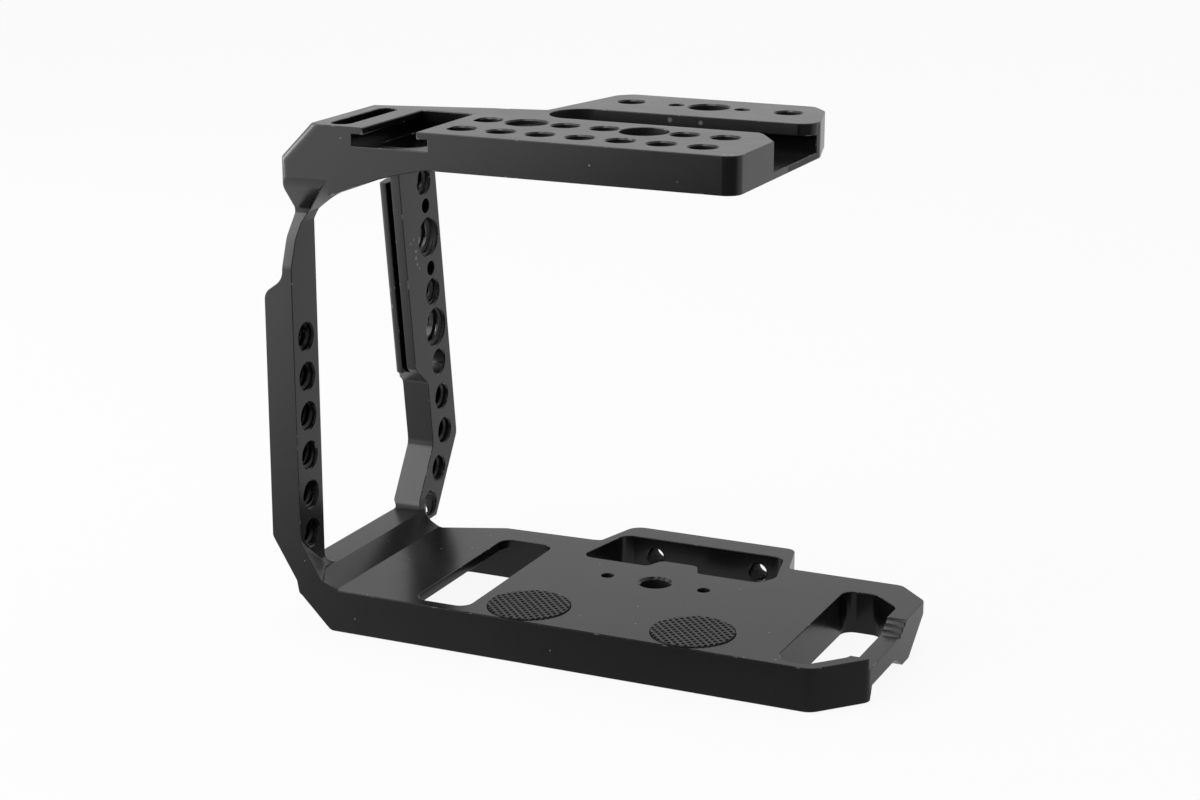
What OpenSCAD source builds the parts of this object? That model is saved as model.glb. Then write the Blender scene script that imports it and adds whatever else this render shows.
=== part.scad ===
// Half cage for a mirrorless camera, milled from one aluminium billet, with two rubber pads.
// Millimetres. +X is the grip side, +Y the lens side, +Z up.
// The origin is the axis of the camera screw hole on the underside.

/* [Camera space] */
// Clear height between base and top plate
inner_h = 100.9; // [90:0.1:115]
// From the camera screw axis to the inner face of the side wall
inner_left = 74.6; // [70:0.1:84]
// From the rear face to the camera screw axis
screw_back = 36; // [34:0.1:38]

/* [Base plate] */
// Thickness of the base plate
base_t = 10.2; // [9:0.1:12]
// Depth of the base plate behind the front yoke
base_d = 58.5; // [57:0.1:62]
// From the camera screw axis to the right end face
base_right = 61.3; // [61:0.1:70]
// Clearance hole for the camera screw
screw_d = 7.2; // [6.6:0.1:7.6]
// Blind holes beside the camera screw
twist_d = 3; // [2:0.1:4]
// Distance of those holes from the screw axis
twist_x = 12.3; // [11:0.1:14]
// Width of the left window in the base
win_w = 13.7; // [8:0.1:16]
// Width of the opening at the battery door
batt_w = 14.3; // [8:0.1:15]
// Wall between the battery opening and the end face
end_wall = 4.6; // [4:0.1:6]
// Depth of the long openings
opening_d = 46.5; // [30:0.1:48]

/* [Front yoke] */
// How far the yoke stands out in front of the base
yoke_out = 13.7; // [12:0.1:18]
// Width of the yoke at its root
yoke_w = 50.8; // [46:0.1:54]
// Thickness of the yoke's far wall
yoke_wall = 7.2; // [6:0.1:8]
// Thickness of the yoke's side walls
yoke_side = 3.4; // [2.6:0.1:6]
// Width of the screw boss that stands into the yoke's pocket
boss_w = 13.2; // [12:0.1:16]
// How far the boss stands into the pocket
boss_out = 4.8; // [3:0.1:6]
// Distance between the two holes through the yoke
yoke_hole_gap = 27.2; // [20:0.1:30]
// Middle of those holes, from the camera screw axis
yoke_hole_mid = 1.2; // [0:0.1:3]
// Clearance holes for M4 screws
yoke_hole_d = 4.3; // [4:0.1:5]

/* [Side wall] */
// Thickness of the side wall
wall_t = 7.5; // [6.5:0.1:9]
// Width of the rear column
rear_col_w = 10.8; // [10:0.1:14]
// Width of the front column below the rail
front_col_w = 12.8; // [11.5:0.1:14]
// From the rear face to the front edge of the front column at its bend
bend_y = 78.4; // [76:0.1:79]
// Lean of the front column, in degrees
lean = 7.5; // [4:0.1:9]
// Lean of the limb under the bend, in degrees
limb_lean = 31.4; // [30:0.1:32.5]
// Height of the window sill above the underside
sill_h = 12; // [11.7:0.1:12.2]
// Height of the bevel along the wall's outer bottom edge
outer_cut = 14.9; // [13.5:0.1:15.5]
// Thickness of the thin neck over the rear column
neck_t = 2.6; // [2.2:0.1:4]
// Depth of the strap notch in the rear face
notch_d = 6.9; // [5:0.1:7.2]

/* [Accessory rail] */
// Width across the rail's flanges
rail_w = 18.4; // [18:0.1:19.5]
// Width of the rail's waist
rail_waist = 12.6; // [11.5:0.1:13.5]
// Height of the rail above the column plate
rail_h = 3.4; // [2.8:0.1:4]
// Length of the rail
rail_l = 50; // [44:0.5:50]

/* [Top plate] */
// Thickness of the top plate
top_t = 8.4; // [7.5:0.1:10]
// Depth of the rear bridge
bridge_d = 30.4; // [30:0.1:31.5]
// Depth of the long slot between the bridges
slot_d = 14.8; // [13:0.1:16]
// Overall depth of the top plate
top_d = 70; // [69:0.1:72]
// From the camera screw axis to the right end of the top plate
top_right = 33; // [31:0.1:40]
// Thickness of the lip over the slot's undercut
lip_t = 2.8; // [2:0.1:3.5]
// Thickness of the web under the slot
web_t = 1.7; // [1.4:0.1:2.5]
// From the camera screw axis to the optical axis
optic_x = 2.9; // [0:0.1:4]

/* [Cold shoe] */
// Width of the shoe's undercut
shoe_w = 18.8; // [18.4:0.1:19]
// Width of the gap between the lips
shoe_gap = 13.4; // [12.6:0.1:13.8]
// Height of the undercut
shoe_h = 2.6; // [2.1:0.1:2.8]
// Thickness of the lips
shoe_lip = 1.6; // [1.4:0.1:1.8]
// Length of the shoe from the rear face
shoe_l = 27.5; // [24:0.1:29]
// Width of the hole through the shoe's floor
shoe_hole_w = 11.2; // [8:0.1:12]
// Length of that hole
shoe_hole_l = 21.2; // [16:0.1:22]
// Width of the strap slot beside the shoe
strap_w = 4.8; // [4:0.1:6]
// From the middle of the shoe to the middle of the strap slot
strap_gap = 14.4; // [13.5:0.1:15]

/* [Threads and holes] */
// Pitch of the holes in a row
pitch = 9.5; // [9:0.1:9.8]
// Major diameter of the 1/4 inch 20 UNC thread
quarter_d = 6.35; // [6.2:0.05:6.4]
// Major diameter of the 3/8 inch 16 UNC thread
three8_d = 9.525; // [9.4:0.025:9.55]
// Countersink of every tapped hole, on the radius
csk = 0.35; // [0.2:0.05:0.5]
// Diameter of the locating pin holes
pin_d = 3.6; // [3:0.1:4]
// Depth of the locating pin holes
pin_depth = 3; // [2:0.1:3.5]
// Distance from a 3/8 inch hole to its pin holes
pin_gap = 8.2; // [8:0.1:8.4]
// Distance from the front 3/8 inch hole to the 1/4 inch hole on each side
side_gap = 19.5; // [17:0.1:22]
// Distance from the column's locating group to the 1/4 inch hole above and below
group_gap = 14.5; // [14.2:0.1:14.8]
// Diameter of the plain hole in the far row
plain_d = 11; // [10:0.1:11.4]

/* [Pads] */
// Diameter of the rubber pads
pad_d = 19; // [16:0.1:19.4]
// Distance of each pad from the screw axis
pad_x = 20.3; // [19:0.1:21]
// Depth of the recess that holds a pad
pad_seat = 1.2; // [0.8:0.1:2]
// How far a pad stands over the base
pad_proud = 0.3; // [0.1:0.1:0.8]
// Clearance round a pad in its recess
pad_fit = 0.15; // [0.1:0.05:0.3]

/* [Hidden] */
$fn = 96;
eps = 0.01;
far = 200;
top_z = base_t + inner_h + top_t;
under_z = base_t + inner_h;
x_in = -inner_left;
x_out = x_in - wall_t;
metal = "#2b2b2d";
rubber = "#1b1b1c";

// ---- outlines -------------------------------------------------------------------------------

// Unit vector from a to b.
function dir(a, b) = (b - a) / norm(b - a);

// Points of one rounded corner: p is [x, y, radius], a and b are its neighbours.
function corner(a, p, b) =
    let (c = [p[0], p[1]], r = p[2])
    r == 0 ? [c] :
    let (u = dir(c, a), v = dir(c, b),
         half = acos(max(-1, min(1, u * v))) / 2,
         mid = c + dir([0, 0], u + v) * r / sin(half),
         s = c + u * r / tan(half) - mid,
         e = c + v * r / tan(half) - mid,
         a0 = atan2(s[1], s[0]),
         turn = (atan2(e[1], e[0]) - a0 + 540) % 360 - 180,
         n = max(2, ceil(abs(turn) / 11)))
    [for (i = [0:n]) mid + r * [cos(a0 + turn * i / n), sin(a0 + turn * i / n)]];

// Outline with rounded corners, from a list of [x, y, radius].
function rounded(p) =
    let (n = len(p), q = [for (v = p) [v[0], v[1]]])
    [for (i = [0:n - 1]) each corner(q[(i + n - 1) % n], p[i], q[(i + 1) % n])];

// Rectangle from (x0, y0) to (x1, y1) with one corner radius.
function round_box(x0, y0, x1, y1, r) = rounded([[x0, y0, r], [x1, y0, r], [x1, y1, r], [x0, y1, r]]);

// Straight prisms: an outline in XY along Z, in XZ along Y, and in YZ along X.
module prism_z(pts, z0, z1) translate([0, 0, z0]) linear_extrude(z1 - z0) polygon(pts);
module prism_y(pts, y0, y1) translate([0, y1, 0]) rotate([90, 0, 0]) linear_extrude(y1 - y0) polygon(pts);
module prism_x(pts, x0, x1) translate([x0, 0, 0]) rotate([90, 0, 90]) linear_extrude(x1 - x0) polygon(pts);

// Every solid is drawn from the rear face, then moved so that the screw axis is the origin.
module from_rear() translate([0, -screw_back, 0]) children();

// ---- holes ----------------------------------------------------------------------------------

// Tapped hole along +Z from z = 0 to h, countersunk at both ends.
module tapped(d, h) {
    translate([0, 0, -eps])
        cylinder(h = h + 2 * eps, d = d);
    translate([0, 0, -eps])
        cylinder(h = csk + eps, d1 = d + 2 * csk + 2 * eps, d2 = d);
    translate([0, 0, h - csk])
        cylinder(h = csk + eps, d1 = d, d2 = d + 2 * csk + 2 * eps);
}

// A 3/8 inch hole with its two blind locating pin holes along X, opening at z = h.
module locating_group(h) {
    tapped(three8_d, h);
    for (s = [-1, 1])
        translate([s * pin_gap, 0, h - pin_depth])
            cylinder(h = pin_depth + eps, d = pin_d);
}

// ---- base -----------------------------------------------------------------------------------

foot_x = x_in + 10;
win_x0 = x_in + 28;
thin_w = 12;
thin_t = 2.4;
batt_x1 = base_right - end_wall;
batt_x0 = batt_x1 - batt_w;
end_x = batt_x0 - 6;
opening_y0 = 3.2;
opening_y1 = opening_y0 + opening_d;
yoke_y = base_d + yoke_out;
pocket_w = yoke_w - 2 * yoke_side;
pocket_y1 = yoke_y - yoke_wall;
yoke_split = base_d - 14;
pocket_y0 = yoke_split + 1.7;
corner_cut = 11.3;
corner_in = 9.6;
far_cut = 7.8;
end_y = base_d - far_cut;

// Outline of the base plate between the side foot and the end frame.
base_outline = [[foot_x, 0], [end_x, 0], [end_x, base_d], [-yoke_w / 2 - 1, base_d], [foot_x + 15, base_d - 1],
                [foot_x, base_d - 7.2]];

// Front yoke: root, slanted ends and rounded outer corners.
yoke_outline = rounded([[-yoke_w / 2 - 1, yoke_split, 0], [yoke_w / 2 + 1, yoke_split, 0],
                        [yoke_w / 2 + 1, base_d, 0], [yoke_w / 2 - 0.3, base_d + 0.4, 1],
                        [yoke_w / 2 - 3.6, yoke_y, 2.5], [-yoke_w / 2 + 4.4, yoke_y, 4],
                        [-yoke_w / 2 + 1, base_d + 0.4, 1], [-yoke_w / 2 - 1, base_d, 0]]);

// Pocket behind the yoke's far wall, with the screw boss standing into it.
pocket_outline = rounded([[-pocket_w / 2 - 2, pocket_y0, 2.5], [-boss_w / 2, pocket_y0, 1.2],
                          [2 - boss_w / 2, pocket_y0 + boss_out, 2], [boss_w / 2 - 2, pocket_y0 + boss_out, 2],
                          [boss_w / 2, pocket_y0, 1.2], [pocket_w / 2, pocket_y0, 3],
                          [pocket_w / 2 + 2.6, pocket_y0 + 5, 3], [pocket_w / 2 - 0.5, pocket_y1, 3],
                          [-pocket_w / 2 + 1.5, pocket_y1, 3]]);

module base_shape() {
    difference() {
        prism_z(base_outline, 0, base_t);
        // seat of the front yoke
        translate([-yoke_w / 2 - 1, yoke_split, -1])
            cube([yoke_w + 2, far, far]);
        // left window
        prism_z(round_box(win_x0, opening_y0, win_x0 + win_w, opening_y1, 3), -1, base_t + 1);
        // the plate left of it is milled thin from below
        prism_z(round_box(win_x0 - thin_w, opening_y0, win_x0 + win_w, opening_y1, 3), -1, base_t - thin_t);
    }
}

module base_plate() color(metal) from_rear() {
    difference() {
        base_shape();
        translate([0, screw_back, -1])
            cylinder(h = base_t + 2, d = screw_d);
        translate([0, screw_back, base_t - 0.6])
            cylinder(h = 0.6 + eps, d1 = screw_d, d2 = screw_d + 1.2 + 2 * eps);
        for (s = [-1, 1])
            translate([s * twist_x, screw_back, base_t - 4])
                cylinder(h = 4 + eps, d = twist_d);
        for (s = [-1, 1])
            translate([s * pad_x, pad_y, base_t - pad_seat])
                cylinder(h = pad_seat + eps, d = pad_d + 2 * pad_fit);
    }
}

module front_yoke() color(metal) from_rear() {
    difference() {
        prism_z(yoke_outline, 0, base_t);
        prism_z(pocket_outline, -1, base_t + 1);
        for (s = [-1, 1])
            translate([yoke_hole_mid + s * yoke_hole_gap / 2, yoke_y, base_t / 2 + 0.4])
                rotate([90, 0, 0]) tapped(yoke_hole_d, yoke_wall);
    }
}

// Right end: near corner cut twice, far corner cut in plan and leaning in below.
end_outline = rounded([[end_x, 0, 0], [base_right - corner_in, 0, 4], [base_right, corner_cut - 0.5, 3],
                       [base_right, end_y, 3], [base_right - far_cut, base_d, 3], [end_x, base_d, 0]]);
batt_outline = rounded([[batt_x0, opening_y0 - 0.8, 4], [batt_x1 - 7, opening_y0 - 0.8, 2],
                        [batt_x1, opening_y0 + 7.2, 3], [batt_x1, opening_y1 - 6, 3],
                        [batt_x1 - 6.5, opening_y1, 3], [batt_x0, opening_y1, 3]]);

// Ramp up to the far ridge of the end wall, with three shallow grooves across it.
ramp_y = end_y - 18.7;
ramp_l = 5;
ramp_h = 2.6;
grooves = 3;
groove_w = 0.5;
ramp_outline = concat(
    [[corner_cut, base_t + 1], [corner_cut, base_t - ramp_h]],
    [for (i = [0:grooves - 1]) let (y = ramp_y + i * ramp_l / grooves, z = base_t - ramp_h * (1 - i / grooves))
        each [[y, z], [y + groove_w, z - 0.3], [y + 2 * groove_w, z + 0.4]]],
    [[ramp_y + ramp_l, base_t], [ramp_y + ramp_l, base_t + 1]]);

module end_frame() color(metal) from_rear() {
    rise = 3.1;
    difference() {
        prism_z(end_outline, 0, base_t);
        prism_z(batt_outline, -1, base_t + 1);
        // the end wall is lower between its two ridges
        prism_x(ramp_outline, batt_x1 - 1, far);
        // and arched up from below between the corner and the small foot
        prism_x([[corner_cut + 0.8, -1], [corner_cut + 0.8, rise - 1], [corner_cut + 2, rise],
                 [end_y - 21, rise], [end_y - 15.6, 0], [end_y - 15.6, -1]], batt_x1 - 1, far);
        // the far corner leans in
        prism_x([[end_y - 11, -1], [end_y - 11, 0], [end_y + 0.3, base_t - 2.4], [far, base_t - 2.4], [far, -1]],
                batt_x1 - 1, far);
    }
}

// ---- pads -----------------------------------------------------------------------------------

pad_y = pad_d / 2 + 0.5;

module pad(s) translate([s * pad_x, pad_y, base_t - pad_seat])
    cylinder(h = pad_seat + pad_proud, d = pad_d);

module pad_left() color(rubber) from_rear() pad(-1);
module pad_right() color(rubber) from_rear() pad(1);

// ---- side wall ------------------------------------------------------------------------------

foot_z = 15.7;
bend_z = 26.7;
step_z = 45.3;
notch_z = under_z - 12.4;
neck_z = notch_z - 8.3;
window_z = notch_z + 2.3;
arm_z = window_z - 1;
group_z = 81;
plate_x = x_in - neck_t;

// Y of the front column's front edge at height z.
function col_front(z) = bend_y - (z - bend_z) * tan(lean);

// Y of the rear edge of the leaning limb, which runs back from the bend to the foot.
function limb_back(z) = bend_y - front_col_w - (bend_z - z) * tan(limb_lean);

// The bevel on the outer bottom edge, from the underside up.
outer_bevel = [[foot_x, 0, 0], [x_out + outer_cut, 0, 2], [x_in, outer_cut - wall_t, 0], [x_out, outer_cut - 1.7, 1]];

// Side wall seen from the rear: bevelled outer face from the underside up, then the inner face down.
function wall_profile(upper) = rounded(concat(
    outer_bevel, upper,
    [[x_in, top_z, 0], [x_in, base_t + 2.2, 2.3], [foot_x - 1, base_t, 1], [foot_x, base_t, 0]]));

rear_profile = wall_profile([[x_out, neck_z - 10.6, 3], [plate_x, neck_z - 7.1, 4], [plate_x, top_z, 0]]);
front_profile = wall_profile([[x_out, top_z, 0]]);

// Front column seen along X: it leans forward, bends at bend_z and runs back to the foot.
column_outline = rounded([[col_front(arm_z) - rail_w, arm_z, 0],
                          [col_front(step_z + 3.2) - rail_w, step_z + 3.2, 1.5],
                          [col_front(step_z - 1.8) - front_col_w, step_z - 1.8, 2],
                          [limb_back(bend_z), bend_z, 4], [limb_back(foot_z), foot_z, 0],
                          [limb_back(foot_z) + front_col_w, foot_z, 0], [col_front(bend_z), bend_z, 3],
                          [col_front(arm_z), arm_z, 0]]);

// Foot seen along X, with the window's sill between the columns.
foot_outline = rounded([[0, 0, 0], [limb_back(0) + front_col_w, 0, 0], [limb_back(foot_z) + front_col_w, foot_z, 0],
                        [limb_back(foot_z), foot_z, 0], [limb_back(sill_h), sill_h, 3.5],
                        [rear_col_w, sill_h, 3.2], [rear_col_w, foot_z, 0], [0, foot_z, 0]]);

// Foot in plan: its front edge curves from the base up to the inner face of the limb.
foot_plan = rounded([[x_out - 1, -1, 0], [foot_x, -1, 0], [foot_x, base_d - 7.2, 0], [x_in, base_d - 5.1, 12.4],
                     [x_in, 90, 0], [x_out - 1, 90, 0]]);

// The lower rear corner of the wall is turned: what is cut from its outer face, and what stands on its inner
// face. Both are seen from the rear, from the face they start at, and fade out as they run forward.
corner_turn = 25;
turn_out = rounded([[-8, 30, 0], [-0.05, 30, 0], [-0.05, 21.3, 4], [5.5, 11.1, 0.5], [6.1, 7.6, 0], [-8, 7.6, 0]]);
turn_in = rounded([[-12, 26, 0], [0, 26, 0], [0, 20.9, 8], [4.9, 11.9, 2], [8.7, 10.3, 0], [8.7, 3, 0],
                   [-12, 3, 0]]);
outer_profile = rounded(concat(outer_bevel, [[x_out, 40, 0], [foot_x, 40, 0]]));

module turned(x, pts) translate([x, 0, 0]) rotate([0, 0, corner_turn]) prism_y(pts, -12, 24);

// Side wall before its window is cut, with the turned corner.
module wall() {
    difference() {
        union() {
            prism_y(rear_profile, 0, far);
            intersection() {
                prism_y(outer_profile, 0, 14);
                turned(x_in, turn_in);
            }
        }
        turned(x_out, turn_out);
    }
}

// Holes of the front column as [distance below the locating group, diameter].
front_holes = [[-group_gap, quarter_d], [group_gap, quarter_d], [group_gap + pitch, three8_d],
               for (i = [2:4]) [group_gap + i * pitch, quarter_d]];

// Places children on the inner face, at distance s down the column from its locating group,
// with +Z towards the camera.
module on_front_column(s) {
    translate([x_in, col_front(group_z) - front_col_w / 2 + s * sin(lean), group_z - s * cos(lean)])
        rotate([lean, 0, 0]) rotate([0, 90, 0]) children();
}

module front_column_holes(depth) {
    for (h = front_holes)
        on_front_column(h[0]) translate([0, 0, -depth]) tapped(h[1], depth);
    on_front_column(0) translate([0, 0, -depth]) locating_group(depth);
}

// Places children on the outer face, on the hole line of the limb at height z.
module on_limb(z) translate([x_out, limb_back(z) + front_col_w / 2 + 0.5, z]) rotate([0, 90, 0]) children();

module side_foot() color(metal) from_rear() {
    difference() {
        intersection() {
            wall();
            prism_x(foot_outline, x_out - 1, foot_x);
            prism_z(foot_plan, -1, foot_z);
        }
        on_limb(11.5) {
            translate([0, 0, -1])
                tapped(quarter_d, wall_t + 1);
            translate([0, 0, wall_t])
                cylinder(h = wall_t, d = quarter_d + 2 * csk);
        }
    }
}

module rear_column() color(metal) from_rear() {
    difference() {
        intersection() {
            wall();
            translate([x_out - 1, 0, foot_z])
                cube([far, rear_col_w, neck_z - foot_z]);
        }
        for (i = [0:5])
            translate([x_out, rear_col_w / 2, 21.5 + i * pitch])
                rotate([0, 90, 0]) tapped(quarter_d, wall_t);
        prism_x(notch_outline, x_out - 1, relief_x);
    }
}

// Stands children at the lower end of the accessory rail, on the column plate, with +Z along the rail.
module at_rail() translate([plate_x, col_front(step_z + 3) - rail_w / 2, step_z + 3]) rotate([lean, 0, 0]) children();

module front_column() color(metal) from_rear() {
    difference() {
        intersection() {
            prism_y(front_profile, 0, far);
            prism_x(column_outline, x_out - 1, foot_x);
        }
        // the wall is milled down to a plate from the rail's lower end up, and bevelled under the rail
        at_rail() prism_y([[0, 0], [-rail_h, 0], [-rail_h - 3, -6], [-far, -6], [-far, far], [0, far]], -far, far);
        front_column_holes(wall_t);
        on_limb(19.7) tapped(quarter_d, wall_t);
    }
}

// Accessory rail: a waist and a flange with slanted flanks, standing on the column plate.
rail_outline = [[0, -rail_waist / 2], [-0.5, -rail_waist / 2], [-rail_h + 2.1, -rail_w / 2],
                [-rail_h + 0.7, -rail_w / 2], [-rail_h, -rail_w / 2 + 0.7], [-rail_h, rail_w / 2 - 0.7],
                [-rail_h + 0.7, rail_w / 2], [-rail_h + 2.1, rail_w / 2], [-0.5, rail_waist / 2], [0, rail_waist / 2]];

module accessory_rail() color(metal) from_rear() {
    difference() {
        at_rail() linear_extrude(rail_l) polygon(rail_outline);
        front_column_holes(neck_t + rail_h);
    }
}

// ---- shoulder -------------------------------------------------------------------------------

joint_x = x_in + 36.6;
shoe_x = joint_x - 10.6;
shoe_z = top_z - shoe_lip - shoe_h;
relief_x = x_in + 9.9;
bevel = 8;
bridge_edge = bridge_d + 7.5;
shoe_hole_y = 2.8;

// Underside of the block: it falls away from the top plate as a shallow parabola.
function under_block(x) = let (u = max(0, joint_x - 1.7 - x)) under_z - 0.18 * u - 0.0053 * u * u;

// Shoulder seen from the rear: bevelled top left corner, inner bevel, relief and curved underside.
shoulder_profile = concat(
    rounded([[x_in, neck_z, 0], [plate_x, neck_z, 0], [plate_x, top_z - bevel, 2], [plate_x + bevel, top_z, 1],
             [joint_x, top_z, 0], [joint_x, under_z, 0]]),
    [for (i = [0:8]) let (x = joint_x - 1.7 + i * (relief_x - joint_x + 1.7) / 8) [x, under_block(x)]],
    rounded([[relief_x, notch_z + 8.3, 0], [x_in + 0.9, notch_z - 0.7, 0], [x_in, notch_z - 3, 0], [x_in, neck_z, 0]]));

// Shoulder in plan: the block behind, and an arm that runs forward to the front column.
shoulder_plan = rounded([[plate_x - 1, -1, 0], [joint_x, -1, 0], [joint_x, bridge_edge, 0], [x_in + 13, 31.5, 5],
                         [x_in + 3.5, 41, 8], [x_in + 1.2, 70, 0], [plate_x - 1, 70, 0]]);

// Shoulder seen along X: the rear edge, the top, the far slope and the arm's foot on the column.
arm_outline = rounded([[0, neck_z, 0], [rear_col_w, neck_z, 0], [rear_col_w, window_z, 6],
                       [col_front(window_z) - rail_w - 1, window_z, 2], [col_front(arm_z) - rail_w, arm_z, 0],
                       [col_front(arm_z), arm_z, 0], [col_front(arm_z + 8), arm_z + 8, 3],
                       [48, top_z - 6.5, 4], [bridge_edge, top_z, 3], [0, top_z, 0]]);

// Notch for the strap lug, seen along X. It runs out smoothly above, and below into the rear column.
notch_outline = rounded([[-1, neck_z - 12, 0], [0, neck_z - 4.5, 8], [2.4, notch_z - 6, 5],
                         [notch_d, notch_z - 0.5, 1.5], [0, notch_z + 7.6, 8], [-1, notch_z + 14, 0]]);

// What comes off the upright rear left edge over the notch.
edge_break = rounded([[plate_x - 1, -1, 0], [plate_x + 4, -1, 0], [plate_x + 4, 0, 0], [plate_x, 0, 2.5],
                      [plate_x, 4, 0], [plate_x - 1, 4, 0]]);

// The same rounding along the rear edge of the bevel.
bevel_break = rounded([[-1, -1, 0], [4, -1, 0], [4, 0, 0], [0, 0, 2.5], [0, 4, 0], [-1, 4, 0]]);

// In front of the shoe the arm falls away from the top's slanted far edge.
module arm_fall() translate([joint_x, bridge_edge, top_z])
    rotate([0, 0, atan((bridge_edge - 31.5) / (joint_x - x_in - 13))])
        prism_x([[0, 0], [60, -27], [60, 5], [0, 5]], -60, 0);

module cold_shoe() {
    translate([shoe_x - shoe_gap / 2, -1, shoe_z])
        cube([shoe_gap, shoe_l + 1, far]);
    translate([shoe_x - shoe_w / 2, -1, shoe_z])
        cube([shoe_w, shoe_l + 1, shoe_h]);
    prism_z(round_box(shoe_x - shoe_hole_w / 2, shoe_hole_y, shoe_x + shoe_hole_w / 2, shoe_hole_y + shoe_hole_l,
                      0.4 * shoe_hole_w), -1, top_z);
}

module shoulder_block() color(metal) from_rear() {
    strap_x = shoe_x - strap_gap;
    difference() {
        intersection() {
            prism_y(shoulder_profile, 0, 70);
            prism_x(arm_outline, plate_x - 1, joint_x);
            prism_z(shoulder_plan, neck_z, top_z);
        }
        prism_x(notch_outline, plate_x - 1, relief_x);
        arm_fall();
        prism_z(edge_break, notch_z + 2, far);
        translate([plate_x, 0, top_z - bevel])
            rotate([0, 45, 0]) prism_z(bevel_break, -5, 20);
        cold_shoe();
        prism_z(round_box(strap_x - strap_w / 2, 2.2, strap_x + strap_w / 2, 27, strap_w / 2 - eps), -1, far);
    }
}

// ---- top plate ------------------------------------------------------------------------------

row_a = 8.6;
row_b = 21.4;
row_c = top_d - 11.1;
slot_left = joint_x + 11;
slot_z = under_z + web_t;

// Seven holes along X at depth y; the fifth of the far row is plain and wider.
module bridge_row(y, plain) {
    for (i = [-4:2])
        translate([optic_x + i * pitch, y, under_z])
            if (plain && i == 0) cylinder(h = 3 * top_t, d = plain_d, center = true);
            else if (plain && i == -3) tapped(three8_d, top_t);
            else tapped(quarter_d, top_t);
}

rear_outline = rounded([[joint_x, 0, 0], [top_right - 0.2, 0, 1.5], [top_right, 3, 0], [top_right, bridge_d, 0],
                        [joint_x, bridge_d, 0]]);
rear_corner = rounded([[top_right + 1, bridge_d - 11, 0], [top_right, bridge_d - 9, 3], [top_right - 6, bridge_d, 5],
                       [top_right - 9, bridge_d + 1, 0], [top_right + 1, bridge_d + 1, 0]]);

module rear_bridge() color(metal) from_rear() {
    difference() {
        prism_z(rear_outline, under_z, top_z);
        prism_z(rear_corner, slot_z, far);
        bridge_row(row_a, false);
        bridge_row(row_b, true);
    }
}

front_outline = rounded([[joint_x, bridge_d, 0], [top_right, bridge_d, 0], [top_right, 51.2, 6],
                         [top_right - 3.9, top_d - 5, 4], [top_right - 8, top_d, 3], [joint_x + 17, top_d, 3],
                         [joint_x + 14, top_d - 3, 3], [joint_x + 8.6, bridge_edge + 2, 1], [joint_x, bridge_edge, 0]]);

// Slot for an accessory, with a full-radius left end and an undercut below the front lip.
module long_slot() {
    slot_r = slot_d / 2;
    translate([slot_left + slot_r, bridge_d + slot_r, slot_z]) {
        cylinder(h = far, r = slot_r);
        translate([0, -slot_r, 0])
            cube([far, slot_d, far]);
        translate([0, -slot_r, 0])
            cube([far, slot_d + 3.3, top_t - web_t - lip_t]);
    }
}

module front_bridge() color(metal) from_rear() {
    difference() {
        prism_z(front_outline, under_z, top_z);
        long_slot();
        translate([optic_x, row_c, under_z]) locating_group(top_t);
        for (s = [-1, 1])
            translate([optic_x + s * side_gap, row_c, under_z]) tapped(quarter_d, top_t);
    }
}

base_plate();
front_yoke();
end_frame();
side_foot();
rear_column();
front_column();
accessory_rail();
shoulder_block();
rear_bridge();
front_bridge();
pad_left();
pad_right();
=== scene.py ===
"""Half cage for a mirrorless camera: black anodised, blasted aluminium with two rubber pads.

Metres throughout, in the frame of the CAD model: +X to the grip side, +Y to the lens side, +Z up,
the origin on the camera screw's axis at the underside. Sizes in millimetres are multiplied by MM.
"""

import bpy
import bmesh
import math
import numpy as np
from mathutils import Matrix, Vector


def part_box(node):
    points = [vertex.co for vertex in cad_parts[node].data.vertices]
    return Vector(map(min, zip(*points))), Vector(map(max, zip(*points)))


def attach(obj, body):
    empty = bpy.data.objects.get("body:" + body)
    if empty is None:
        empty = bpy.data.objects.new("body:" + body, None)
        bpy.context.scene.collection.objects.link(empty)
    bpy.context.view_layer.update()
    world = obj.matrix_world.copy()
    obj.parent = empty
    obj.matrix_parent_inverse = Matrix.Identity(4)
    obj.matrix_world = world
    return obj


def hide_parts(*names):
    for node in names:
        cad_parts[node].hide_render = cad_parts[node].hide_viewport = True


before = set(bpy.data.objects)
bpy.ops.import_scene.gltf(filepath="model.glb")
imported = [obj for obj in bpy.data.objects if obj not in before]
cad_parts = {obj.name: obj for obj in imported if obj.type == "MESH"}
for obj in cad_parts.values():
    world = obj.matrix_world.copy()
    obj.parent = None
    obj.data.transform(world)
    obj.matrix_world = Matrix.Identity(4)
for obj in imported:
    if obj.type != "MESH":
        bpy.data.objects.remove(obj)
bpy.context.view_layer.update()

MM = 0.001
scene = bpy.context.scene
scene.view_settings.view_transform = "Standard"

# ---- sizes, in mm ------------------------------------------------------------------------------

REAR = -36.0                                # the rear face
BASE_T = 10.2                               # base plate
TOP_Z, TOP_T, TOP_RIGHT = 119.5, 8.4, 33.0  # top plate: upper face, thickness and right end
SLOT_REAR, SLOT_FRONT = -5.6, 9.2           # walls of the long dovetail slot in the top plate
LIP_T, WEB_T = 2.8, 1.7                     # lips over the slot's undercut, and the web under it
SLOT_FLOOR = TOP_Z - TOP_T + WEB_T
FACE_X = -74.6                              # inner face of the side wall
WALL_T, NECK_T, RAIL_H = 7.5, 2.6, 3.4      # side wall, its thin part, and the rail on that
OUTER_X, PLATE_X = FACE_X - WALL_T, FACE_X - NECK_T
LEAN, COLUMN_W = math.radians(7.5), 12.8    # front column
BEND_Y, BEND_Z = 78.4, 26.7                 # bend of its front edge, from the rear face and up
PAD_TOP = BASE_T + 0.3

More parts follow.
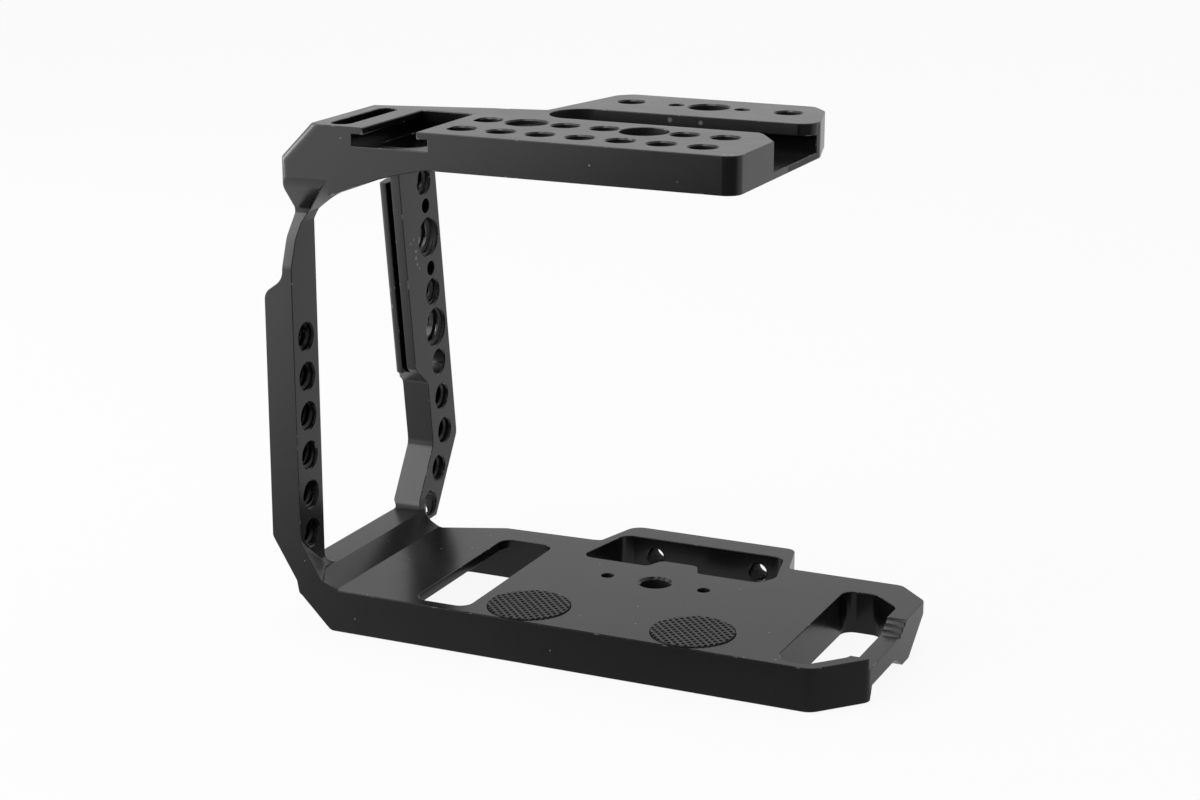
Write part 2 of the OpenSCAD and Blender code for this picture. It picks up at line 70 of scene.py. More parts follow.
CORNER_R = 3.5                              # rear bridge's free corner
LIP_R = 4.0                                 # front lip's corner where the long slot runs out
BREAK = 0.26                                # broken edge left by the deburring brush
NARROW = 0.62                               # a face narrower than this keeps its edges
SHARP = math.radians(25)                    # an outside edge that turns more than this is broken

SMALL = (3.175, 1.27)                       # 1/4 inch 20 UNC: radius and lead
LARGE = (4.7625, 1.5875)                    # 3/8 inch 16 UNC
SINK = 0.35                                 # countersink of a tapped hole
PITCH = 9.5                                 # between the holes of a row
OPTIC_X = 2.9                               # optical axis
GROUP_Z = 81.0                              # 3/8 inch hole of the front column's locating group
PIN_R, PIN_DEPTH, PIN_GAP = 1.8, 3.0, 8.2   # pin holes on either side of a 3/8 inch hole
SIDE_GAP = 19.5                             # 1/4 inch holes beside the front bridge's 3/8 inch one
PLAIN_R = 5.5                               # plain hole over the optical axis
SCREW_R = 3.6                               # clearance for the camera screw
TWIST_R, TWIST_DEPTH, TWIST_X = 1.5, 4.0, 12.3   # blind holes beside the camera screw
YOKE_R, YOKE_WALL = 2.15, 7.2               # clearance holes through the yoke
DRILL_FEED = 0.5                            # what the drill goes down in one turn

# Planes where two machined sections meet. Their edges are left sharp, so the billet reads as one.
SEAMS = {
    "base_plate": [("x", -64.6), ("x", 36.4), ("y", 8.5), ("x", -26.4), ("x", 26.4)],
    "front_yoke": [("y", 8.5), ("x", -26.4), ("x", 26.4)],
    "end_frame": [("x", 36.4)],
    "side_foot": [("x", -64.6), ("z", 15.7)],
    "rear_column": [("z", 15.7), ("z", 90.4)],
    "front_column": [("z", 15.7), ("z", 100.0)],
    "accessory_rail": [("x", PLATE_X)],
    "shoulder_block": [("z", 90.4), ("z", 100.0), ("x", -38.0)],
    "rear_bridge": [("x", -38.0), ("y", SLOT_REAR)],
    "front_bridge": [("x", -38.0), ("y", SLOT_REAR)],
}

# Places where use has gone through the film to pale metal, with the radius of each mark.
MARKS = [
    # a rub beside the front column's upper 3/8 inch hole
    ((FACE_X, 22.35, 78.6), 0.5), ((FACE_X, 22.3, 76.9), 0.6), ((FACE_X, 22.9, 75.2), 0.5),
    ((FACE_X, 24.0, 74.0), 0.35), ((FACE_X, 19.7, 81.0), 0.35), ((FACE_X, 21.3, 81.7), 0.35),
    # nicks in the long slot's front wall
    ((-1.1, SLOT_FRONT, 118.3), 0.7), ((6.4, SLOT_FRONT, 118.1), 0.65),
    # knocks at the rear bridge's free corner
    ((29.5, -34.6, TOP_Z), 0.5), ((31.0, -33.9, TOP_Z), 0.4),
]


# ---- materials ---------------------------------------------------------------------------------

def linear(code):
    """sRGB hex to a linear RGBA tuple."""
    c = np.array([int(code[i:i + 2], 16) for i in (1, 3, 5)]) / 255
    c = np.where(c <= 0.04045, c / 12.92, ((c + 0.055) / 1.055) ** 2.4)
    return tuple(c) + (1.0,)


def add(tree, kind, sets=(), links=(), stops=(), **props):
    """Adds a node and gives its outputs. props are its properties, sets the values of its sockets,
    links the outputs that feed them, and stops the (place, hex) pairs of a colour ramp."""
    n = tree.nodes.new(kind)
    for k, v in props.items():
        setattr(n, k, v)
    for k, v in dict(sets).items():
        n.inputs[k].default_value = v
    for k, out in dict(links).items():
        tree.links.new(out, n.inputs[k])
    if stops:
        e = n.color_ramp.elements
        e[0].position, e[0].color = stops[0][0], linear(stops[0][1])
        e[1].position, e[1].color = stops[-1][0], linear(stops[-1][1])
        for place, code in stops[1:-1]:
            e.new(place).color = linear(code)
    return n.outputs


def span(lo, hi, a, b):
    """Settings of a Map Range that takes lo..hi to a..b and stops there."""
    return {"From Min": lo, "From Max": hi, "To Min": a, "To Max": b}


def blank(name):
    """A material with nodes and its Principled shader."""
    m = bpy.data.materials.new(name)
    m.use_nodes = True
    return m, m.node_tree, m.node_tree.nodes["Principled BSDF"]


def anodised(name, dark, light, rough, rubbed):
    """Aluminium, milled, glass bead blasted and then dyed black in its anodic film: a dark, glassy
    oxide over a matt grain, so flat faces are near black with a soft sheen that grows at low
    angles. dark and light are the film's two tones, which for the edges, bores and slot walls also
    carry painted light, and rough is the film's roughness. rubbed, from 0 to 1, is how far its rubs
    have gone through to bare metal."""
    m, t, p = blank(name)
    place = add(t, "ShaderNodeTexCoord")["Object"]
    # dye that took a little unevenly, in clouds about 12 mm across
    clouds = add(t, "ShaderNodeTexNoise", {"Scale": 80.0, "Detail": 3.0, "Roughness": 0.55},
                 {"Vector": place})["Fac"]
    # traces of the cutter's passes along X: 0.4 mm apart, fading over 25 mm
    lengthwise = add(t, "ShaderNodeMapping", {"Scale": (40.0, 2500.0, 2500.0)},
                     {"Vector": place})[0]
    passes = add(t, "ShaderNodeTexNoise", {"Scale": 1.0, "Detail": 2.0, "Roughness": 0.5},
                 {"Vector": lengthwise})["Fac"]
    # blasting grain: real beads leave 0.1 mm dimples, drawn 0.35 mm wide so that they show
    beads = add(t, "ShaderNodeTexNoise", {"Scale": 2900.0, "Detail": 2.0, "Roughness": 0.6},
                {"Vector": place})["Fac"]
    dye = add(t, "ShaderNodeMix", {"Factor": 0.45}, {"A": clouds, "B": passes})[0]
    tone = add(t, "ShaderNodeValToRGB", links={"Fac": dye}, stops=[(0.3, dark), (0.7, light)])[0]
    # scuffs about 0.4 mm across, in one cell of four of a net 3.3 mm wide
    net = add(t, "ShaderNodeTexVoronoi", {"Scale": 300.0}, {"Vector": place})
    spot = add(t, "ShaderNodeMapRange", span(0.045, 0.07, 1.0, 0.0), {"Value": net["Distance"]})[0]
    lot = add(t, "ShaderNodeSeparateColor", links={"Color": net["Color"]})["Red"]
    chosen = add(t, "ShaderNodeMapRange", span(0.74, 0.76, 0.0, 1.0), {"Value": lot})[0]
    scuffs = add(t, "ShaderNodeMath", links={0: spot, 1: chosen}, operation="MULTIPLY")[0]
    # rubs, in patches about 2.4 mm across
    patches = add(t, "ShaderNodeTexNoise", {"Scale": 420.0, "Detail": 3.0},
                  {"Vector": place})["Fac"]
    rubs = add(t, "ShaderNodeMapRange",
               span(0.66 - 0.1 * rubbed, 0.72 - 0.1 * rubbed, 0.0, rubbed), {"Value": patches})[0]
    bare = add(t, "ShaderNodeMath", links={0: scuffs, 1: rubs}, operation="MAXIMUM")[0]
    for point, radius in MARKS:
        away = add(t, "ShaderNodeVectorMath", {1: [v * MM for v in point]}, {0: place},
                   operation="DISTANCE")["Value"]
        mark = add(t, "ShaderNodeMapRange", span(0.5 * radius * MM, radius * MM, 0.8, 0.0),
                   {"Value": away})[0]
        bare = add(t, "ShaderNodeMath", links={0: bare, 1: mark}, operation="MAXIMUM")[0]
    colour = add(t, "ShaderNodeMix", {"B": linear("#8c8c8a")}, {"Factor": bare, "A": tone},
                 data_type="RGBA")["Result"]
    sheen = add(t, "ShaderNodeMapRange", span(0.3, 0.7, rough - 0.03, rough + 0.04),
                {"Value": dye})[0]
    grain = add(t, "ShaderNodeMix", {"Factor": 0.5}, {"A": beads, "B": passes})[0]
    bump = add(t, "ShaderNodeBump", {"Strength": 0.25, "Distance": 0.02 * MM}, {"Height": grain})[0]
    t.links.new(colour, p.inputs["Base Color"])
    t.links.new(sheen, p.inputs["Roughness"])
    t.links.new(bump, p.inputs["Normal"])
    # what reflects is the oxide film, not the metal under it
    p.inputs["Metallic"].default_value = 0.0
    p.inputs["IOR"].default_value = 1.45
    return m


# The open faces; the broken edges, with the brush's rubs and a paler tone that is a painted
# highlight along them; the drilled walls, matt, with a darker tone that is painted shade in the
# holes; and the long slot's walls, rough from the side of the cutter, with a paler tone that is
# painted light.
FILM = anodised("black_anodised_aluminium", "#0d0d0e", "#131314", 0.22, 0.0)
# paler tone on the broken edges: a painted highlight, with real rubs on top
EDGE_WEAR_AND_HIGHLIGHT = anodised("anodised_edge_wear_and_painted_highlight", "#161617", "#202021", 0.22, 0.5)
# darker tone on the drilled walls: painted shade inside the holes; the higher roughness is the
# drill's matt wall
BORE_PAINTED_SHADE = anodised("drilled_bore_painted_shade", "#0b0b0b", "#101010", 0.55, 0.0)
# paler tone on the slot's walls: painted light; the higher roughness is the cutter's side finish
SLOT_WALL_PAINTED_LIGHT = anodised("side_milled_wall_painted_light", "#131314", "#1c1c1d", 0.5, 0.0)


def rubber():
    """Black silicone rubber, moulded with a crosshatch: matt, with painted light: its colour is
    paler on the ridge tops, a painted highlight, and darker down in the pits, painted shade."""
    m, t, p = blank("black_moulded_rubber_painted_ridge_light")
    place = add(t, "ShaderNodeTexCoord")["Object"]
    height = add(t, "ShaderNodeSeparateXYZ", links={"Vector": place})["Z"]
    # painted light by height: ridge tops painted paler as a highlight, pits painted darker as shade
    top = add(t, "ShaderNodeMapRange", span((PAD_TOP - 0.25) * MM, (PAD_TOP - 0.02) * MM, 0.0, 1.0),
              {"Value": height})[0]
    tone = add(t, "ShaderNodeValToRGB", links={"Fac": top},
               stops=[(0.0, "#0e0e0f"), (1.0, "#3e3e3f")])[0]
    # the fine grain that the mould leaves, drawn 0.3 mm wide so that it shows
    skin = add(t, "ShaderNodeTexNoise", {"Scale": 3500.0, "Detail": 2.0}, {"Vector": place})["Fac"]
    bump = add(t, "ShaderNodeBump", {"Strength": 0.3, "Distance": 0.03 * MM}, {"Height": skin})[0]
    t.links.new(tone, p.inputs["Base Color"])
    t.links.new(bump, p.inputs["Normal"])
    p.inputs["Roughness"].default_value = 0.55
    return m


RUBBER = rubber()


# ---- holes -------------------------------------------------------------------------------------
# A hole is (radius, lead, start, axis, length). The lead is that of its thread, or 0 if plain.

def upright(x, y, r, lead, top, length):
    """A hole along +Z that ends at the height top, without its countersinks."""
    return (r, lead, (x, y, top - length + SINK), (0, 0, 1), length - 2 * SINK)


def sideways(y, z, r, lead, outer, inner):
    """A hole along +X from outer to inner."""
    return (r, lead, (outer, y, z), (1, 0, 0), inner - outer)


def column_point(s):
    """(y, z) on the front column's hole line, s mm below its locating group."""
    y = BEND_Y - (GROUP_Z - BEND_Z) * math.tan(LEAN) - COLUMN_W / 2
    return y + s * math.sin(LEAN) + REAR, GROUP_Z - s * math.cos(LEAN)


REAR_ROW, MIDDLE_ROW, FRONT_ROW = 8.6 + REAR, 21.4 + REAR, 58.9 + REAR
row_x = [OPTIC_X + i * PITCH for i in range(-4, 3)]
wall_out, wall_in = OUTER_X + SINK, FACE_X - SINK
rail_out = PLATE_X - RAIL_H + SINK
# down the front column: mm below the locating group, thread, and outer end
column_holes = [(-14.5, SMALL, rail_out), (0, LARGE, rail_out), (14.5, SMALL, rail_out),
                (24.0, LARGE, rail_out), (33.5, SMALL, PLATE_X), (43.0, SMALL, wall_out),
                (52.5, SMALL, wall_out)]
HOLES = {
    "rear_bridge": [upright(x, REAR_ROW, *SMALL, TOP_Z, TOP_T) for x in row_x]
    + [upright(x, MIDDLE_ROW, *SMALL, TOP_Z, TOP_T) for i, x in enumerate(row_x) if i not in (1, 4)]
    + [upright(row_x[1], MIDDLE_ROW, *LARGE, TOP_Z, TOP_T),
       upright(row_x[4], MIDDLE_ROW, PLAIN_R, 0, TOP_Z, TOP_T)],
    "front_bridge": [upright(OPTIC_X, FRONT_ROW, *LARGE, TOP_Z, TOP_T)]
    + [upright(OPTIC_X + s * SIDE_GAP, FRONT_ROW, *SMALL, TOP_Z, TOP_T) for s in (-1, 1)]
    + [upright(OPTIC_X + s * PIN_GAP, FRONT_ROW, PIN_R, 0, TOP_Z, PIN_DEPTH) for s in (-1, 1)],
    # 5.4 mm from the rear face, the lowest 21.5 mm up
    "rear_column": [sideways(5.4 + REAR, 21.5 + i * PITCH, *SMALL, wall_out, wall_in)
                    for i in range(6)],
    "front_column": [sideways(*column_point(s), *thread, outer, wall_in)
                     for s, thread, outer in column_holes]
    + [sideways(*column_point(s * PIN_GAP), PIN_R, 0, FACE_X - PIN_DEPTH, FACE_X) for s in (-1, 1)]
    # and one under the bend
    + [sideways(32.23, 19.7, *SMALL, wall_out, wall_in)],
    "side_foot": [sideways(27.22, 11.5, *SMALL, OUTER_X + 5.2, wall_in)],
    # from the pocket to the yoke's front face
    "front_yoke": [(YOKE_R, DRILL_FEED, (x, 29.0, 5.5), (0, 1, 0), YOKE_WALL)
                   for x in (-12.4, 14.8)],
    "base_plate": [upright(0, 0, SCREW_R, 0, BASE_T, BASE_T)]
    + [upright(s * TWIST_X, 0, TWIST_R, 0, BASE_T, TWIST_DEPTH) for s in (-1, 1)],
}


def in_bore(f, holes):
    """True if the face lies on the wall of one of the holes: it runs along the hole's axis, is no
    further from it than the radius, and is no more than 0.5 mm past its ends."""
    c = np.array(f.calc_center_median()) / MM
    n = np.array(f.normal)
    for r, lead, start, axis, length in holes:
        w = np.array(axis, float)
        d = c - np.array(start)
        out = d - w * (d @ w)
        if abs(n @ w) < 0.2 and np.linalg.norm(out) < r + 0.05 and -0.5 < d @ w < length + 0.5:
            return True
    return False


# ---- meshes ------------------------------------------------------------------------------------

def drawn(points, faces):
    """A bmesh from an array of points, in metres, and one of faces with four corners."""
    me = bpy.data.meshes.new("drawn")
    me.from_pydata(points.tolist(), [], faces.tolist())
    bm = bmesh.new()
    bm.from_mesh(me)
    bpy.data.meshes.remove(me)
    return bm


def finished(name, bm, finishes, smooth_to):
    """An object at the origin from bm, with its finishes in order. It is smooth, and every edge
    sharper than smooth_to degrees is kept as a crease."""
    for f in bm.faces:
        f.smooth = True
    for e in bm.edges:
        e.smooth = len(e.link_faces) == 2 and e.calc_face_angle(0.0) < math.radians(smooth_to)
    me = bpy.data.meshes.new(name)
    bm.to_mesh(me)
    bm.free()
    for finish in finishes:
        me.materials.append(finish)
    o = bpy.data.objects.new(name, me)
    scene.collection.objects.link(o)
    return o


# ---- machined sections -------------------------------------------------------------------------

def on_seam(e, planes):
    """True if both ends of the edge lie on one of the planes."""
    for axis, value in planes:
        i = "xyz".index(axis)
        if all(abs(v.co[i] - value * MM) < 2e-6 for v in e.verts):
            return True
    return False


def round_corner(bm, cx, cy, r):
    """Draws the upright corner beyond (cx, cy), at +X and -Y, with the radius r. The corner is cut
    by planes through the upright line at (cx, cy), a step apart, and points on or past r go to the
    nearest cut, on the circle."""
    step = 9
    centre = Vector((cx, cy, 0)) * MM

    def cut(normal, faces):
        """Cuts the faces by the plane through the upright line that looks along normal."""
        edges = [e for f in faces for e in f.edges]
        verts = [v for f in faces for v in f.verts]
        parts = dict.fromkeys([*faces, *edges, *verts])
        bmesh.ops.bisect_plane(bm, geom=list(parts), dist=1e-7, plane_co=centre, plane_no=normal)

    def beyond(c):
        """True in the quarter that holds the corner."""
        return c.x > centre.x - 1e-7 and c.y < centre.y + 1e-7

    cut((1, 0, 0), bm.faces)
    cut((0, 1, 0), bm.faces)
    for turn in range(step, 90, step):
        t = math.radians(turn)
        cut((math.sin(t), math.cos(t), 0), [f for f in bm.faces if beyond(f.calc_center_median())])
    for v in bm.verts:
        out = Vector((v.co.x - centre.x, v.co.y - centre.y))
        if beyond(v.co) and out.length > (r - 0.001) * MM:
            turn = step * round(math.degrees(math.atan2(-out.y, out.x)) / step)
            t = math.radians(turn)
            v.co.x, v.co.y = centre.x + r * MM * math.cos(t), centre.y - r * MM * math.sin(t)
    bmesh.ops.remove_doubles(bm, verts=bm.verts, dist=1e-6)


def at_lip(e):
    """True for the upright edge of the front lip where the long slot runs out."""
    return e.is_convex and all(abs(v.co.x - TOP_RIGHT * MM) < 1e-6
                               and abs(v.co.y - SLOT_FRONT * MM) < 1e-6
                               and v.co.z > (TOP_Z - LIP_T - 0.1) * MM for v in e.verts)


def gets_broken(e, seams):
    """True for a sharp outside edge off the seams with a wide enough face on both sides. A face's
    width is taken as its area over the edge's length."""
    if len(e.link_faces) != 2 or not e.is_convex or e.calc_face_angle(0.0) < SHARP:
        return False
    width = min(f.calc_area() for f in e.link_faces) / e.calc_length()
    return width >= NARROW * MM and not on_seam(e, seams)


FINISHES = (FILM, EDGE_WEAR_AND_HIGHLIGHT, BORE_PAINTED_SHADE, SLOT_WALL_PAINTED_LIGHT)
BROKEN, DRILLED, SIDE_MILLED = 1, 2, 3      # places in FINISHES


def finish_of(f, node):
    """The place in FINISHES of a face's finish. Countersinks are broken edges too: they are small
    and slope at 45 degrees."""
    if in_bore(f, HOLES.get(node, [])):
        return DRILLED
    if f.calc_area() < 0.5 * MM * MM and 0.6 < max(map(abs, f.normal)) < 0.75:
        return BROKEN
    c = f.calc_center_median() / MM
    in_slot = SLOT_REAR - 0.1 < c.y < SLOT_FRONT + 0.1 and c.z > SLOT_FLOOR + 0.2
    if node == "front_bridge" and in_slot and abs(f.normal.z) < 0.3:
        return SIDE_MILLED
    return f.material_index


def machined(node):
    """A node's solid with its outside edges broken by BREAK, as the brush leaves them. Edges on a
    seam, inside corners, and faces too narrow to lose an edge stay as they are."""
    bm = bmesh.new()
    bm.from_mesh(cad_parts[node].data)
    bmesh.ops.remove_doubles(bm, verts=bm.verts, dist=1e-6)
    if node == "rear_bridge":
        round_corner(bm, TOP_RIGHT - CORNER_R, REAR + CORNER_R, CORNER_R)
    # the solid's triangles become the flat faces that they make up
    bmesh.ops.dissolve_limit(bm, angle_limit=math.radians(0.4), verts=bm.verts, edges=bm.edges)
    if node == "front_bridge":
        bmesh.ops.bevel(bm, geom=[e for e in bm.edges if at_lip(e)], offset=LIP_R * MM,
                        offset_type="OFFSET", segments=10, profile=0.5, affect="EDGES",
                        clamp_overlap=False)
    made = bmesh.ops.bevel(bm, geom=[e for e in bm.edges if gets_broken(e, SEAMS[node])],
                           offset=BREAK * MM, offset_type="OFFSET", segments=2, profile=0.5,
                           affect="EDGES", clamp_overlap=False, loop_slide=True)
    for f in made["faces"]:
        f.material_index = BROKEN
    # no mitre of the bevel stands past the node's own box
    lo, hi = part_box(node)
    for v in bm.verts:
        v.co = [min(max(c, a), b) for c, a, b in zip(v.co, lo, hi)]
    bmesh.ops.dissolve_degenerate(bm, dist=1e-7, edges=bm.edges)
    # where a bevel runs out along a seam it can leave a flat fin, whose tip has only two faces,
    # and those look opposite ways
    bm.normal_update()
    pairs = [(v, *v.link_faces) for v in bm.verts if len(v.link_faces) == 2]
    tips = [v for v, one, two in pairs if one.normal.dot(two.normal) < -0.8]
    bmesh.ops.dissolve_verts(bm, verts=tips)
    for f in bm.faces:
        f.material_index = finish_of(f, node)
    o = finished(node + "_body", bm, FINISHES, 30)
    keep = o.modifiers.new("flat faces stay flat", "WEIGHTED_NORMAL")
    keep.keep_sharp = True
    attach(o, "root")
    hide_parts(node)


for node in SEAMS:
    machined(node)


# ---- threads -----------------------------------------------------------------------------------

def ridge(radius, lead, start, axis, length, turn_from, depth):
    """One internal thread as a closed strip: its points, in metres, and faces. The angle t runs
    along a right-hand helix, so a point is at (r cos t, r sin t, lead t / 2 pi). The profile is a
    ridge with a flat crest, 0.86 of the lead wide at the bore's wall, 0.18 of it at the crest and
    depth of it high. It fades in and out over a third of a turn."""
    steps, sunk = 36, 0.04              # points to a turn, and how far the foot is in the metal
    turns = (length - lead) / lead
    n = int(turns * steps)
    t = np.linspace(0, 2 * math.pi * turns, n + 1)
    fade = np.clip(np.minimum(t, t[-1] - t) / (2 * math.pi / 3), 0.04, 1)
    foot, crest = 0.43 * lead * fade, 0.09 * lead * fade
    outer, inner = np.full(n + 1, radius + sunk), radius - depth * lead * fade
    r = np.stack([outer, inner, inner, outer], 1)
    dz = np.stack([-foot, -crest, crest, foot], 1)
    z = (lead * t / (2 * math.pi) + lead / 2)[:, None] + dz
    a = (t + turn_from)[:, None]
    local = np.stack([r * np.cos(a), r * np.sin(a), z], -1).reshape(-1, 3)
    w = np.array(axis, float)
    u = np.cross(w, [0.0, 0.0, 1.0]) if abs(w[2]) < 0.9 else np.array([1.0, 0.0, 0.0])
    v = np.cross(w, u)
    points = (np.array(start) + local @ np.stack([u, v, w])) * MM
    i = np.arange(n)[:, None] * 4
    k = np.arange(4)[None, :]
    k2 = (k + 1) % 4
    sides = np.stack([i + k, i + k2, i + 4 + k2, i + 4 + k], -1).reshape(-1, 4)
    ends = [[3, 2, 1, 0], [4 * n, 4 * n + 1, 4 * n + 2, 4 * n + 3]]
    return points, np.concatenate([sides, ends])


def threads(name, holes, depth):
    """The threads of one section's holes as one piece. Each starts 0.9 rad on from the last."""
    points, faces, count = [], [], 0
    for i, hole in enumerate(holes):
        p, f = ridge(*hole, turn_from=0.9 * i, depth=depth)
        points.append(p)
        faces.append(f + count)
        count += len(p)
    bm = drawn(np.concatenate(points), np.concatenate(faces))
    bmesh.ops.remove_doubles(bm, verts=bm.verts, dist=1e-7)
    bmesh.ops.recalc_face_normals(bm, faces=bm.faces)
    o = finished(name, bm, [FILM], 40)
    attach(o, "root")


# a Unified thread is 0.54 of its lead high
for node in ("rear_bridge", "front_bridge", "rear_column", "front_column", "side_foot"):
    threads(node + "_threads", [hole for hole in HOLES[node] if hole[1]], 0.54)
# the yoke's holes are only drilled: the drill's feed leaves a faint spiral, 0.1 mm high
threads("front_yoke_drill_marks", HOLES["front_yoke"], 0.2)


# ---- rubber pads -------------------------------------------------------------------------------

def pad(name, node):
    """A round moulded pad. Over the square grid (a, b), turned 45 degrees to the cage, the height
    is the pad's top minus a pit wherever both a and b are off the ridges; ridges are 0.4 mm wide,
    1.41 mm apart and 0.4 mm high with sloped sides. Points past the rim are drawn in to it, and
    the rim drops straight to the seat."""
    lo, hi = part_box(node)
    centre, radius = (lo + hi) / 2, (hi.x - lo.x) / 2 / MM
    pitch, half, slope, deep, rim_drop = 1.41, 0.2, 0.12, 0.4, 0.08
    k = np.arange(-8, 9) * pitch
    lines = np.sort(np.concatenate([k - half - slope, k - half, k + half, k + half + slope]))
    a, b = np.meshgrid(lines, lines, indexing="ij")
    off = np.abs((lines + pitch / 2) % pitch - pitch / 2)
    pit = np.clip((off - half) / slope, 0, 1)
    z = hi.z / MM - deep * np.minimum(pit[:, None], pit[None, :])
    x, y = (a + b) / math.sqrt(2), (b - a) / math.sqrt(2)
    away = np.hypot(x, y)
    pull = np.where(away > radius, radius / np.maximum(away, 1e-9), 1)
    grid = np.stack([x * pull + centre.x / MM, y * pull + centre.y / MM, z], -1).reshape(-1, 3)
    # faces with a corner inside the rim
    i = np.arange(a.size).reshape(a.shape)
    faces = np.stack([i[:-1, 1:], i[1:, 1:], i[1:, :-1], i[:-1, :-1]], -1).reshape(-1, 4)
    faces = faces[(away <= radius).reshape(-1)[faces].any(1)]
    used, faces = np.unique(faces, return_inverse=True)
    bm = drawn(grid[used] * MM, faces.reshape(-1, 4))
    bmesh.ops.remove_doubles(bm, verts=bm.verts, dist=2e-5)
    rim = [e for e in bm.edges if e.is_boundary]
    for v in {v for e in rim for v in e.verts}:
        v.co.z = min(v.co.z, hi.z - rim_drop * MM)
    side = bmesh.ops.extrude_edge_only(bm, edges=rim)["geom"]
    for v in side:
        if isinstance(v, bmesh.types.BMVert):
            v.co.z = lo.z
    bmesh.ops.holes_fill(bm, edges=[e for e in bm.edges if e.is_boundary])
    bmesh.ops.recalc_face_normals(bm, faces=bm.faces)
    o = finished(name, bm, [RUBBER], 25)
    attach(o, "root")
    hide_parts(node)


pad("pad_left_crosshatch", "pad_left")
pad("pad_right_crosshatch", "pad_right")

# the solids under the pieces have the same finishes
for node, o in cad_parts.items():
    o.data.materials.clear()
    o.data.materials.append(RUBBER if node.startswith("pad_") else FILM)


# ---- studio ------------------------------------------------------------------------------------

FRONT = 0.72     # how bright the far side of the studio is, beside the white of the background
SIDE = 2.1       # how bright its left side shows in the metal's gloss, next to the softbox


def in_gloss(t):
    """1 for the rays that show a surface in metal or glass."""
    path = add(t, "ShaderNodeLightPath")
    return add(t, "ShaderNodeMath", operation="MAXIMUM",
               links={0: path["Is Glossy Ray"], 1: path["Is Transmission Ray"]})[0]


def part_along(t, place, direction, lo, hi):
    """How far place has gone along direction, from 0 at lo to 1 at hi."""
    far = add(t, "ShaderNodeVectorMath", {1: direction}, {0: place}, operation="DOT_PRODUCT")
    return add(t, "ShaderNodeMapRange", span(lo, hi, 0, 1), {"Value": far["Value"]})[0]


def floor():
    """A pale paper sheet that keeps the soft shadow. The camera sees it as mostly plain white. To
    glossy and transmission rays it is painted light, an emission and no lamp: pale beyond the
    object and to its left, and dim behind on the right, so that the metal reflects that pattern."""
    half = 6.0
    me = bpy.data.meshes.new("paper_floor")
    me.from_pydata([(-half, -half, 0), (half, -half, 0), (half, half, 0), (-half, half, 0)], [],
                   [(0, 1, 2, 3)])
    o = bpy.data.objects.new("paper_floor", me)
    scene.collection.objects.link(o)
    o.location.z = -0.0002              # just clear of the underside
    m, t, p = blank("white_paper")
    p.inputs["Base Color"].default_value = linear("#f2f2f2")
    p.inputs["Roughness"].default_value = 0.9
    white = add(t, "ShaderNodeEmission", {"Color": (1, 1, 1, 1), "Strength": 1.0})[0]
    seen = add(t, "ShaderNodeLightPath")["Is Camera Ray"]
    part = add(t, "ShaderNodeMapRange", span(0, 1, 0.0, 0.92), {"Value": seen})[0]
    to_eye = add(t, "ShaderNodeMixShader", links={0: part, 1: p.outputs[0], 2: white})[0]
    place = add(t, "ShaderNodeTexCoord")["Object"]
    # painted light for the metal's gloss: the sheet glows, pale beyond and to the left, dim behind
    # on the right
    beyond = part_along(t, place, (0, 1, 0), -0.10, 0.06)
    left = add(t, "ShaderNodeValToRGB",
               links={"Fac": part_along(t, place, (-1, 0.3, 0), -0.10, 0.20)},
               stops=[(0.0, "#525252"), (0.27, "#525252"), (0.35, "#636363"), (0.53, "#8b8b8b"),
                      (0.68, "#bfbfbf"), (0.87, "#f4f4f4"), (1.0, "#ffffff")])["Color"]
    side = add(t, "ShaderNodeMapRange", span(0, 1, 0.0, SIDE), {"Value": left})[0]
    glow = add(t, "ShaderNodeMix", {"B": FRONT}, {"Factor": beyond, "A": side})[0]
    painted_gloss_glow = add(t, "ShaderNodeEmission", links={"Strength": glow})[0]
    paper = add(t, "ShaderNodeMixShader", links={0: in_gloss(t), 1: to_eye, 2: painted_gloss_glow})[0]
    t.links.new(paper, t.nodes["Material Output"].inputs["Surface"])
    me.materials.append(m)


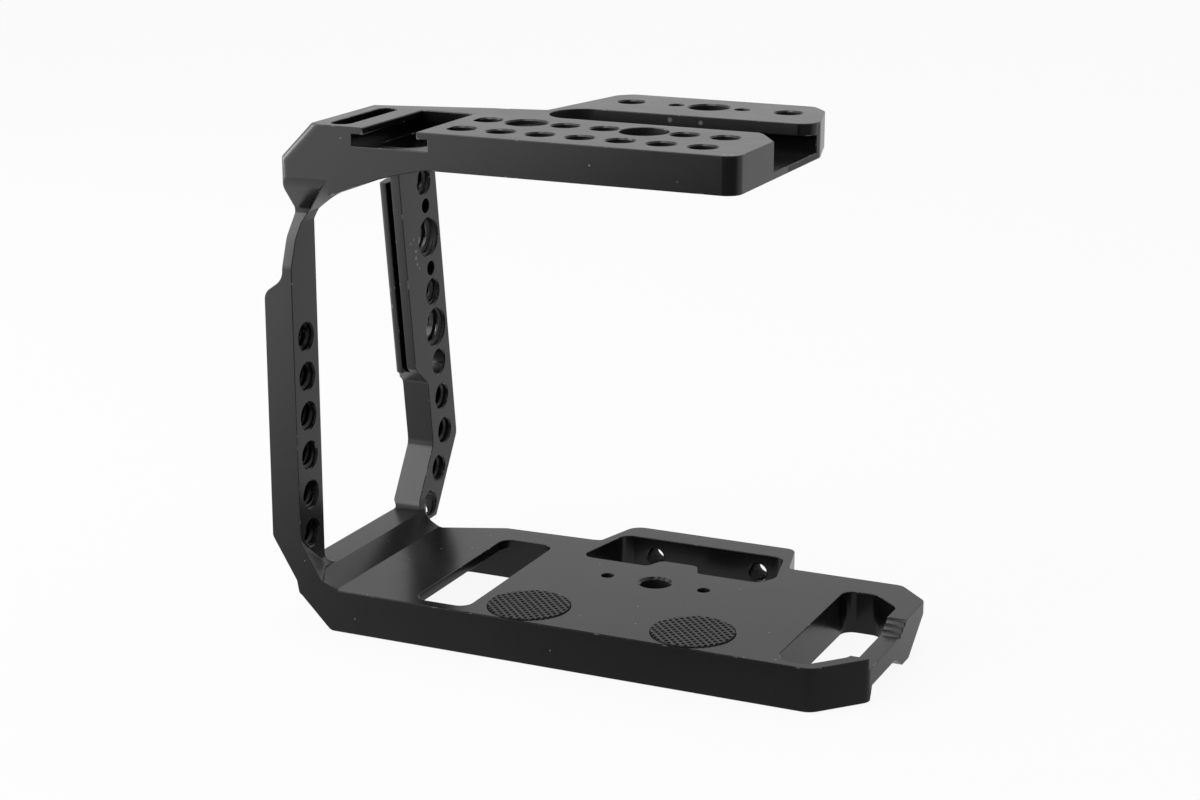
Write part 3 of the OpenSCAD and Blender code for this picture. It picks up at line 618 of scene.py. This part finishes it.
def studio_world():
    """White to the camera. To everything else, a pale room: bright beyond the object and on the
    left, dim behind on the right."""
    world = bpy.data.worlds.new("studio")
    scene.world = world
    world.use_nodes = True
    t = world.node_tree
    back = t.nodes["Background"]
    way = add(t, "ShaderNodeTexCoord")["Generated"]
    beyond = part_along(t, way, (0, 1, 0), -0.10, 0.25)
    left = add(t, "ShaderNodeValToRGB",
               links={"Fac": part_along(t, way, (-0.91, 0.41, 0), -0.5, 0.5)},
               stops=[(0.0, "#6c6c6c"), (0.465, "#6c6c6c"), (0.50, "#898989"), (0.535, "#cccccc"),
                      (0.62, "#ffffff")])["Color"]
    part = add(t, "ShaderNodeMapRange", span(0, 1, 0.6, SIDE), {"Value": in_gloss(t)})[0]
    side = add(t, "ShaderNodeMath", links={0: left, 1: part}, operation="MULTIPLY")[0]
    room = add(t, "ShaderNodeMix", {"B": FRONT}, {"Factor": beyond, "A": side})[0]
    seen = add(t, "ShaderNodeLightPath")["Is Camera Ray"]
    light = add(t, "ShaderNodeMix", {"B": 1.0}, {"Factor": seen, "A": room})[0]
    back.inputs["Color"].default_value = (1, 1, 1, 1)
    t.links.new(light, back.inputs["Strength"])


def softbox(name, place, size, power):
    """A square area lamp at place, facing the middle of the cage, in metres and watts."""
    lamp = bpy.data.lights.new(name, "AREA")
    lamp.energy, lamp.size = power, size
    o = bpy.data.objects.new(name, lamp)
    scene.collection.objects.link(o)
    o.location = place
    target = Vector((0, 0, 0.05))
    o.rotation_euler = (target - Vector(place)).to_track_quat("-Z", "Y").to_euler()


floor()
studio_world()
softbox("left_softbox", (-0.45, -0.45, 0.55), 0.6, 2.6)
softbox("side_softbox", (-0.75, -0.05, 0.15), 0.35, 2.0)
softbox("overhead_softbox", (-0.05, -0.10, 1.0), 0.3, 1.0)

# The camera stands 24.5 degrees round to the grip side and looks down 15.7 degrees. Its focal
# length is 2452 pixels of a frame 1200 wide.
SENSOR = 36.0
eye = bpy.data.cameras.new("camera")
eye.sensor_width = SENSOR
eye.lens = SENSOR * 2452 / 1200
eye.clip_start, eye.clip_end = 0.02, 30
camera = bpy.data.objects.new("camera", eye)
scene.collection.objects.link(camera)
camera.location = (0.21365, -0.50000, 0.20734)
camera.rotation_euler = (1.2972, -0.0006, 0.42791)
scene.camera = camera
